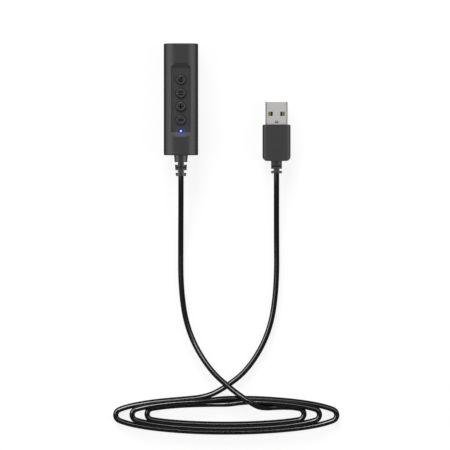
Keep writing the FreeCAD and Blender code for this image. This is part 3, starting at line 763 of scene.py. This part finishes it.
@dataclass
class ButtonRow(SubAssembly):
    """Four crowned caps with their signs, and what they press.

    Heights are above the table. The rim's rounding is given by how far each point is in from the cap's wall
    and up from the rim, and the dish's edge by how far it is out from the dish and down from the crown.
    """

    cap_radius: float = 2.6
    flange_radius: float = 3.3
    flange_bottom: float = 10.9
    flange_top: float = 11.5
    pusher_radius: float = 1.1
    pusher_bottom: float = 10.45
    rim: float = 13.1
    rim_round: tuple[Pair, ...] = ((0.0, 0.0), (0.03, 0.2), (0.12, 0.4), (0.24, 0.54), (0.4, 0.65))
    crown: float = 13.79
    crown_land: Pair = (0.52, 0.62)
    dish_radius: float = 1.6
    dish_edge: tuple[Pair, ...] = ((0.26, 0.035), (0.12, 0.1))
    dish_floor: float = 13.645
    dish_slope: Pair = (0.15, 0.02)
    dish_dip: float = 0.035
    cap_steps: int = 64
    stroke: float = 0.62
    stroke_steps: int = 14
    bar: float = 0.8
    end_round: float = 0.48
    end_steps: int = 5
    sign_height: float = 0.06
    sign_sunk: float = 1 / 3

    def cap(self, centre: Vector) -> BMesh:
        """Turns one cap.

        Args:
            centre: where its axis stands, in metres.

        Returns:
            The cap: pusher, flange, wall, rounded rim and a crown that dips a little in the middle.
        """
        profile = (
            (0.0, self.pusher_bottom),
            (self.pusher_radius, self.pusher_bottom),
            (self.pusher_radius, self.flange_bottom),
            (self.flange_radius, self.flange_bottom),
            (self.flange_radius, self.flange_top),
            (self.cap_radius, self.flange_top),
            *((self.cap_radius - inward, self.rim + up) for inward, up in self.rim_round),
            *((self.cap_radius - inward, self.crown) for inward in self.crown_land),
            *((self.dish_radius + out, self.crown - down) for out, down in self.dish_edge),
            (self.dish_radius, self.dish_floor),
            (self.dish_radius - self.dish_slope[0], self.dish_floor - self.dish_slope[1]),
            (0.0, self.dish_floor - self.dish_dip),
        )
        shape = bmesh.new()
        line = [shape.verts.new((radius * MM, 0, height * MM)) for radius, height in profile]
        edges = [shape.edges.new(pair) for pair in zip(line, line[1:])]
        bmesh.ops.spin(
            shape,
            geom=line + edges,
            axis=(0, 0, 1),
            cent=(0, 0, 0),
            angle=math.tau,
            steps=self.cap_steps,
            use_merge=True,
        )
        bmesh.ops.remove_doubles(shape, verts=shape.verts, dist=WELD)
        bmesh.ops.recalc_face_normals(shape, faces=shape.faces)
        bmesh.ops.translate(shape, verts=shape.verts, vec=(centre.x, centre.y, 0))
        return shape

    def straight(self, shape: BMesh, start: Vector, end: Vector, width: float) -> None:
        """Adds a straight stroke with round ends.

        Args:
            shape: the mesh that it goes into.
            start: where it starts, in millimetres.
            end: where it ends, in millimetres.
            width: its width in millimetres.
        """
        run = end - start
        made = bmesh.ops.create_cube(shape, size=1)["verts"]
        long_way = run.length + width
        bmesh.ops.scale(shape, verts=made, vec=(long_way * MM, width * MM, self.sign_height * MM))
        edges = {edge for corner in made for edge in corner.link_edges}
        uprights = [edge for edge in edges if abs((edge.verts[0].co - edge.verts[1].co).z) > LEVEL]
        made_round = bmesh.ops.bevel(
            shape,
            geom=uprights,
            offset=self.end_round * width * MM,
            offset_type="OFFSET",
            affect="EDGES",
            segments=self.end_steps,
            profile=0.5,
            material=-1,
        )
        whole = {v for f in made_round["faces"] for v in f.verts} | {v for v in made if v.is_valid}
        turn = Matrix.Rotation(run.angle_signed(Vector((1, 0))), 4, "Z")
        middle = (start + end) / 2 * MM
        bmesh.ops.transform(shape, matrix=Matrix.Translation((*middle, 0)) @ turn, verts=list(whole))

    def draw(self, sign: Sign, shape: BMesh) -> None:
        """Draws a sign about the origin.

        Args:
            sign: which sign.
            shape: the mesh that its strokes go into.
        """
        width = self.bar if sign is Sign.MINUS else self.stroke
        for start, end in STRAIGHT_STROKES[sign]:
            self.straight(shape, Vector(start), Vector(end), width)
        for centre, radius, span in CURVED_STROKES.get(sign, ()):
            section = (width, self.sign_height)
            curved_bar(shape, section, Vector(centre), radius, span, self.stroke_steps)

    def build(self) -> None:
        """Makes each cap with its sign, and dresses the plungers and switches."""
        for sign in Sign:
            name = sign.value
            low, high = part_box(f"{name}_button")
            centre = (low + high) / 2
            self.add(self.cap(centre), f"{name}_cap", BUTTON_ABS, "buttons", name, [f"{name}_button"])
            shape = bmesh.new()
            self.draw(sign, shape)
            bmesh.ops.recalc_face_normals(shape, faces=shape.faces)
            lift = (self.dish_floor - self.sign_height * self.sign_sunk) * MM
            bmesh.ops.translate(shape, verts=shape.verts, vec=(centre.x, centre.y, lift))
            self.add(shape, f"{name}_sign", ICON_INK, "buttons", name)
            self.keep(f"{name}_plunger", PLUNGER_POM)
        self.keep("push_switches", SWITCH_STEEL)


@dataclass
class StatusLight(SubAssembly):
    """The blue light: a chip on the board and the clear pipe that carries its light to the panel."""

    edge: float = 0.06

    def build(self) -> None:
        """Dresses the pipe and the chip."""
        self.soften("status_light_pipe", "status_light_lens", PIPE_PC, "light_pipe", self.edge)
        self.keep("light_chip", CHIP_LENS)


@dataclass
class Electronics(SubAssembly):
    """The board and what is soldered to it, with the headset socket."""

    edge: float = 0.08
    can_edge: float = 0.2

    def build(self) -> None:
        """Dresses the board, its parts and the socket."""
        self.soften("circuit_board", "circuit_board_laminate", BOARD_FR4, "board", self.edge)
        self.soften("audio_chip", "audio_chip_package", CHIP_EPOXY, "chip", self.edge)
        self.soften("crystal", "crystal_can", CAN_ALUMINIUM, "can_metal", self.can_edge)
        self.soften("board_capacitors", "capacitor_cans", CAN_ALUMINIUM, "can_metal", self.can_edge)
        self.keep("lead_wires", WIRE_PVC)
        self.soften("headset_socket", "headset_socket_body", SOCKET_PBT, "socket_plastic", self.edge)
        self.keep("socket_contacts", CONTACT_GOLD)


@dataclass
class UsbPlug(SubAssembly):
    """The plug at the cord's far end, with the grip moulded over it."""

    shell_edge: float = 0.1
    grip_edge: float = 0.12
    lock_middle: Pair = (PLUG_X, -12.5)
    lock_radius: float = 0.85
    lock_span: Pair = (0, 180)
    lock_steps: int = 16
    lock_line: float = 0.3
    lock_bar: Pair = (2.0, 0.5)
    lock_height: float = 0.03
    pieces: list[Object] = field(default_factory=list)

    def seam_lock(self) -> BMesh:
        """Paints the shadow in the seam lock's slits: a short bar, arched over towards the mouth.

        Returns:
            The painted shadow, sunk to half its height in the shell's top face.
        """
        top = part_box("usb_shell")[1].z
        middle = Vector((self.lock_middle[0] * MM, self.lock_middle[1] * MM, top))
        shape = bmesh.new()
        bar = bmesh.ops.create_cube(shape, size=1)["verts"]
        bmesh.ops.scale(shape, verts=bar, vec=Vector((*self.lock_bar, self.lock_height)) * MM)
        section = (self.lock_line, self.lock_height)
        curved_bar(shape, section, Vector((0, 0)), self.lock_radius, self.lock_span, self.lock_steps)
        bmesh.ops.recalc_face_normals(shape, faces=shape.faces)
        bmesh.ops.translate(shape, verts=shape.verts, vec=middle)
        return shape

    def build(self) -> None:
        """Dresses the plug's shell, tongue, contacts and grip."""
        shell = self.soften("usb_shell", "usb_shell_folded", SHELL_NICKEL, "shell_metal", self.shell_edge)
        # The seam lock is a dark stroke, a painted shadow of the shade in its slits.
        lock = self.add(self.seam_lock(), "usb_seam_lock_shadow", LOCK_SLIT_SHADOW, "shell_metal")
        grip = self.soften("plug_grip", "plug_grip_overmould", GRIP_PVC, "grip", self.grip_edge)
        kept = {"usb_tongue": TONGUE_PBT, "usb_contacts": CONTACT_GOLD, "plug_inner_mould": INNER_PE}
        for node, finish in kept.items():
            self.keep(node, finish)
        self.pieces += [shell, lock, grip, *(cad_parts[node] for node in kept)]


class End(Enum):
    """An end of the coil, as the sign of its side along X."""

    RIGHT = 1
    LEFT = -1


@dataclass(frozen=True)
class OvalTurn:
    """One turn of the coil: a long ellipse whose ends are opened out into round tips.

    Its sizes are those of the cord's centre line. The cord comes along the back, goes round the right tip,
    along the front and round the left tip, and on along the back. Its points are where lines that touch the
    turn in neighbouring directions cross, so the smooth cord touches each of those lines. The runs before
    and after may stand in for some of its points: late of them at its start and early of them at its end.
    """

    left: float
    right: float
    front: float
    back: float
    tip_radius: float
    front_height: float
    back_height: float
    late: int = 0
    early: int = 0
    corners: int = 5
    side_shares: tuple[float, ...] = (0.0, 0.22, 0.5, 0.75, 0.93)

    @property
    def middle(self) -> Vector:
        """Where the turn's middle is, on the table."""
        return Vector(((self.left + self.right) / 2, (self.front + self.back) / 2, 0))

    @property
    def half_width(self) -> float:
        """Half the turn's width along Y."""
        return (self.back - self.front) / 2

    @property
    def reach(self) -> float:
        """How far each tip's centre is from the middle."""
        return (self.right - self.left) / 2 - self.tip_radius

    @property
    def half_length(self) -> float:
        """Half the length of the ellipse that the long sides lie on."""
        return math.sqrt(self.half_width**2 + self.reach**2 / (1 - (self.tip_radius / self.half_width) ** 2))

    @property
    def tip_lean(self) -> float:
        """Works out where a tip hands over to a long side.

        Returns:
            The direction of that place from the tip's centre, as an angle from X.
        """
        long_square = self.half_length**2
        along = self.reach * long_square / (long_square - self.half_width**2)
        across = self.half_width * math.sqrt(1 - along**2 / long_square)
        return math.atan2(across, along - self.reach)

    def distance(self, lean: float) -> float:
        """How far from the middle a line lies that touches the turn.

        Args:
            lean: direction in which the line lies from the middle, as an angle from X.

        Returns:
            The distance in metres.
        """
        if abs(lean) <= self.tip_lean:
            return self.reach * math.cos(lean) + self.tip_radius
        return math.hypot(self.half_length * math.cos(lean), self.half_width * math.sin(lean))

    def leans(self) -> list[float]:
        """Works out the directions of the lines that touch one end.

        Returns:
            Their angles from X, from the back round the tip to the front.
        """
        lean = self.tip_lean
        leg = self.tip_radius * math.tan(lean / self.corners)
        side_radius = (self.half_length * self.half_width) ** 2 / self.distance(lean) ** 3
        first = lean + 2 * leg / side_radius
        side = [first + share * (math.pi / 2 - first) for share in self.side_shares]
        tip = [lean * (1 - 2 * i / self.corners) for i in range(self.corners + 1)]
        return side[::-1] + tip + [-angle for angle in side]

    def half(self, end: End) -> list[Vector]:
        """Works out the points round one end.

        Args:
            end: which end.

        Returns:
            Its points in the order in which the cord passes them.
        """
        leans = self.leans()
        flat = len(self.side_shares) - 1
        rise = len(leans) - 2 - 2 * flat
        start, finish = (self.back_height, self.front_height)[:: end.value]
        points = []
        for i, (one, other) in enumerate(zip(leans, leans[1:])):
            near, far = self.distance(one), self.distance(other)
            turn = math.sin(other - one)
            along = (near * math.sin(other) - far * math.sin(one)) / turn
            across = (far * math.cos(one) - near * math.cos(other)) / turn
            share = min(max((i - flat) / rise, 0), 1)
            height = start + (finish - start) * share
            points.append(self.middle + Vector((end.value * along, end.value * across, height)))
        return points

    def points(self) -> list[Vector]:
        """Works out the points of the whole turn.

        Returns:
            The points from the middle of its back round to the same place, but for those left to the runs.
        """
        lean = self.leans()[0]
        foot = Vector((0, -self.distance(lean) / math.sin(lean), self.front_height))
        run = self.half(End.RIGHT) + [self.middle + foot] + self.half(End.LEFT)
        return run[self.late : len(run) - self.early]


@dataclass
class CordRun(SubAssembly):
    """The cord: from the control's strain relief down to the table, three turns, and up to the plug."""

    diameter: float = 0.003
    length: float = 0.89
    exit: Triple = (0.0, -0.0415, 0.0062)
    relief_edge: float = 0.1
    smoothness: int = 8
    order: int = 3
    control_lead: Route = (
        (0.0000, -0.0415, 0.0062),
        (0.0000, -0.0520, 0.0062),
        (-0.0001, -0.0720, 0.0016),
        (-0.0002, -0.1040, 0.0015),
        (0.0040, -0.1270, 0.0015),
        (0.0153, -0.1466, 0.0044),
        (0.0280, -0.1576, 0.0052),
        (0.0340, -0.1618, 0.0072),
        (0.0384, -0.1648, 0.0074),
        (0.0424, -0.1669, 0.0055),
        (0.0466, -0.1673, 0.0032),
        (0.0510, -0.1670, 0.0019),
        (0.0555, -0.1669, 0.0015),
    )
    step_to_middle: Route = (
        (0.0025, -0.1657, 0.0015),
        (0.0110, -0.1654, 0.0015),
        (0.0190, -0.1653, 0.0015),
        (0.0260, -0.1653, 0.0021),
        (0.0320, -0.1643, 0.0036),
        (0.0390, -0.1639, 0.00415),
    )
    step_to_outer: Route = (
        (0.0020, -0.1641, 0.00415),
        (0.0110, -0.1637, 0.00415),
        (0.0170, -0.1630, 0.0034),
        (0.0220, -0.1624, 0.0020),
        (0.0290, -0.1621, 0.0015),
    )
    plug_lead: Route = (
        (0.0000, -0.1627, 0.0015),
        (0.0135, -0.1614, 0.0015),
        (0.0225, -0.1572, 0.0015),
        (0.0364, -0.1468, 0.0015),
        (0.0479, -0.1270, 0.0015),
        (0.0520, -0.1030, 0.0015),
        (0.0518, -0.0690, 0.0016),
        (0.0518, -0.0500, 0.0040),
        (0.0518, -0.04005, 0.0040),
    )
    turns: tuple[OvalTurn, ...] = (
        OvalTurn(-0.0184, 0.0667, -0.1762, -0.1651, 0.0031, 0.0015, 0.0015, late=3, early=2),
        OvalTurn(-0.0265, 0.0751, -0.1784, -0.1635, 0.0031, 0.0038, 0.00415, late=1, early=1),
        OvalTurn(-0.0354, 0.0845, -0.1804, -0.1620, 0.0032, 0.0015, 0.0015, early=1),
    )

    def route(self) -> list[Vector]:
        """Joins the leads, the turns and the steps between them.

        Returns:
            Control points of the whole cord, from the control to the plug.
        """
        joins = (self.step_to_middle, self.step_to_outer, self.plug_lead)
        points = [Vector(p) for p in self.control_lead]
        for turn, join in zip(self.turns, joins):
            points += turn.points() + [Vector(p) for p in join]
        return points

    def build(self, plug: UsbPlug) -> Object:
        """Args:
            plug: the plug at its far end. It is not used.

        Returns:
            The cord.
        """
        relief = self.soften(
            "control_strain_relief", "control_relief_sleeve", RELIEF_TPE, "relief", self.relief_edge
        )
        points = self.route()
        curve = bpy.data.curves.new("cord_jacket", "CURVE")
        curve.dimensions = "3D"
        curve.resolution_u = self.smoothness
        curve.bevel_depth = self.diameter / 2
        curve.bevel_resolution = self.smoothness
        curve.use_fill_caps = True
        spline = curve.splines.new("NURBS")
        spline.points.add(len(points) - 1)
        for knot, point in zip(spline.points, points):
            knot.co = (*point, 1.0)
        spline.order_u = self.order
        spline.use_endpoint_u = True
        curve.materials.append(CORD_PVC.material())
        cord = bpy.data.objects.new("cord_jacket", curve)
        bpy.context.scene.collection.objects.link(cord)
        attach(cord, POSE_BODY)
        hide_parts("control_cord_lead", "cord_coil", "plug_cord_lead")
        LOG.info("cord_jacket: %d control points", len(points))
        return cord


@dataclass(frozen=True)
class SoftBox:
    """A soft box: an even rectangle of light aimed at the object."""

    name: str
    place: Triple
    width: float
    height: float
    watts: float


@dataclass
class Studio:
    """The table, the white surroundings, the lamps and the camera straight above the object."""

    middle: Pair = (0.02387, -0.06808)
    camera_height: float = 4.071
    lens: float = 600.0
    sensor: float = 36.0
    clip: Pair = (0.05, 50.0)
    table_size: float = 16.0
    table_gap: float = 0.00001
    table_grey: str = "#6c6c6c"
    table_roughness: float = 0.9
    table_specular: float = 0.1
    white: str = "#ffffff"
    surround: float = 0.08
    whitening: float = 0.86
    boxes: tuple[SoftBox, ...] = (
        SoftBox("left strip", (-2.3, -0.07, 1.02), 1.5, 2.2, 41.0),
        SoftBox("right strip", (2.3, -0.07, 1.02), 1.5, 2.2, 46.0),
        SoftBox("back box", (-0.7, 2.85, 1.35), 1.9, 1.2, 136.0),
    )
    cord_boxes: tuple[SoftBox, ...] = (
        SoftBox("cord top box", (-0.46, 1.08, 2.68), 0.58, 1.6, 320.0),
        SoftBox("cord weak top box", (0.21, 0.81, 2.83), 0.58, 0.8, 36.0),
        SoftBox("cord right box", (1.15, 1.06, 2.5), 1.2, 1.2, 110.0),
        SoftBox("cord side box", (-1.5, 0.86, 2.0), 1.7, 1.7, 400.0),
    )

    def camera(self) -> None:
        """Sets up the camera."""
        data = bpy.data.cameras.new("camera")
        data.lens = self.lens
        data.sensor_width = self.sensor
        data.clip_start, data.clip_end = self.clip
        eye = bpy.data.objects.new("camera", data)
        eye.location = (*self.middle, self.camera_height)
        bpy.context.scene.collection.objects.link(eye)
        bpy.context.scene.camera = eye

    def lamps(self, boxes: Sequence[SoftBox]) -> list[Object]:
        """Hangs soft boxes round the object.

        Args:
            boxes: the soft boxes.

        Returns:
            Their lamps.
        """
        hung = []
        for box in boxes:
            data = bpy.data.lights.new(box.name, "AREA")
            data.shape = "RECTANGLE"
            data.size = box.width
            data.size_y = box.height
            data.energy = box.watts
            lamp = bpy.data.objects.new(box.name, data)
            aim = Vector((*self.middle, 0)) - Vector(box.place)
            lamp.location = box.place
            lamp.rotation_euler = aim.to_track_quat("-Z", "Y").to_euler()
            lamp.visible_camera = False
            bpy.context.scene.collection.objects.link(lamp)
            hung.append(lamp)
        return hung

    def light(self, cord: Object) -> None:
        """Hangs the lamps. The glossy cord has soft boxes of its own, which draw the streaks along its turns.

        Args:
            cord: the cord.
        """
        for state, boxes in (("EXCLUDE", self.boxes), ("INCLUDE", self.cord_boxes)):
            group = bpy.data.collections.new(f"cord {state.lower()}d")
            group.objects.link(cord)
            group.collection_objects[0].light_linking.link_state = state
            for lamp in self.lamps(boxes):
                lamp.light_linking.receiver_collection = group

    def surroundings(self) -> None:
        """Makes a room that is white where it is seen, also in gloss or through glass, but a dim light."""
        world = bpy.data.worlds.new("white room")
        world.use_nodes = True
        tree = world.node_tree
        levels = {"Value": self.shown_rays(tree), "To Min": self.surround, "To Max": 1.0}
        level = add_node(tree, "MapRange", levels)
        feed(tree.nodes["Background"], {"Color": linear(self.white), "Strength": level.outputs["Result"]})
        bpy.context.scene.world = world

    def shown_rays(self, tree: NodeTree) -> NodeSocket:
        """Tells the rays that show the surroundings from the rest.

        Args:
            tree: the node tree that asks.

        Returns:
            An output that is 1 for the eye, in gloss and through glass, and 0 for plain light.
        """
        rays = add_node(tree, "LightPath").outputs
        shown = rays["Is Camera Ray"]
        for kind in ("Is Glossy Ray", "Is Transmission Ray"):
            either = add_node(tree, "Math", {0: shown, 1: rays[kind]}, operation="MAXIMUM")
            shown = either.outputs["Value"]
        return shown

    def table_paint(self) -> Material:
        """Makes white laminate, most of whose white is its own glow where it is seen.

        Returns:
            The material, on which shadows stay soft.
        """
        paint = bpy.data.materials.new("White laminate table")
        paint.use_nodes = True
        tree = paint.node_tree
        shown = self.shown_rays(tree)
        lift = add_node(tree, "Math", {0: shown, 1: self.whitening}, operation="MULTIPLY")
        looks = {
            "Base Color": linear(self.table_grey),
            "Roughness": self.table_roughness,
            "Specular IOR Level": self.table_specular,
            "Emission Color": linear(self.white),
            "Emission Strength": lift.outputs["Value"],
        }
        feed(tree.nodes["Principled BSDF"], looks)
        return paint

    def table(self) -> None:
        """Lays the white table top just under the object."""
        shape = bmesh.new()
        bmesh.ops.create_grid(shape, x_segments=1, y_segments=1, size=self.table_size / 2)
        bmesh.ops.translate(shape, verts=shape.verts, vec=(0, 0, -self.table_gap))
        mesh = bpy.data.meshes.new("table_top")
        shape.to_mesh(mesh)
        shape.free()
        mesh.materials.append(self.table_paint())
        table = bpy.data.objects.new("table_top", mesh)
        bpy.context.scene.collection.objects.link(table)

    def build(self) -> None:
        """Sets up the studio, but for its lamps."""
        self.camera()
        self.surroundings()
        self.table()
        bpy.context.scene.view_settings.view_transform = "Standard"


def main() -> None:
    """Builds the studio and every sub-assembly in order."""
    logging.basicConfig(level=logging.INFO, format="%(name)s: %(message)s")
    studio = Studio()
    studio.build()
    plug = UsbPlug()
    plug.build()
    cord = CordRun().build(plug)
    studio.light(cord)
    Housing().build()
    ButtonRow().build()
    StatusLight().build()
    Electronics().build()


if __name__ == "__main__":
    main()
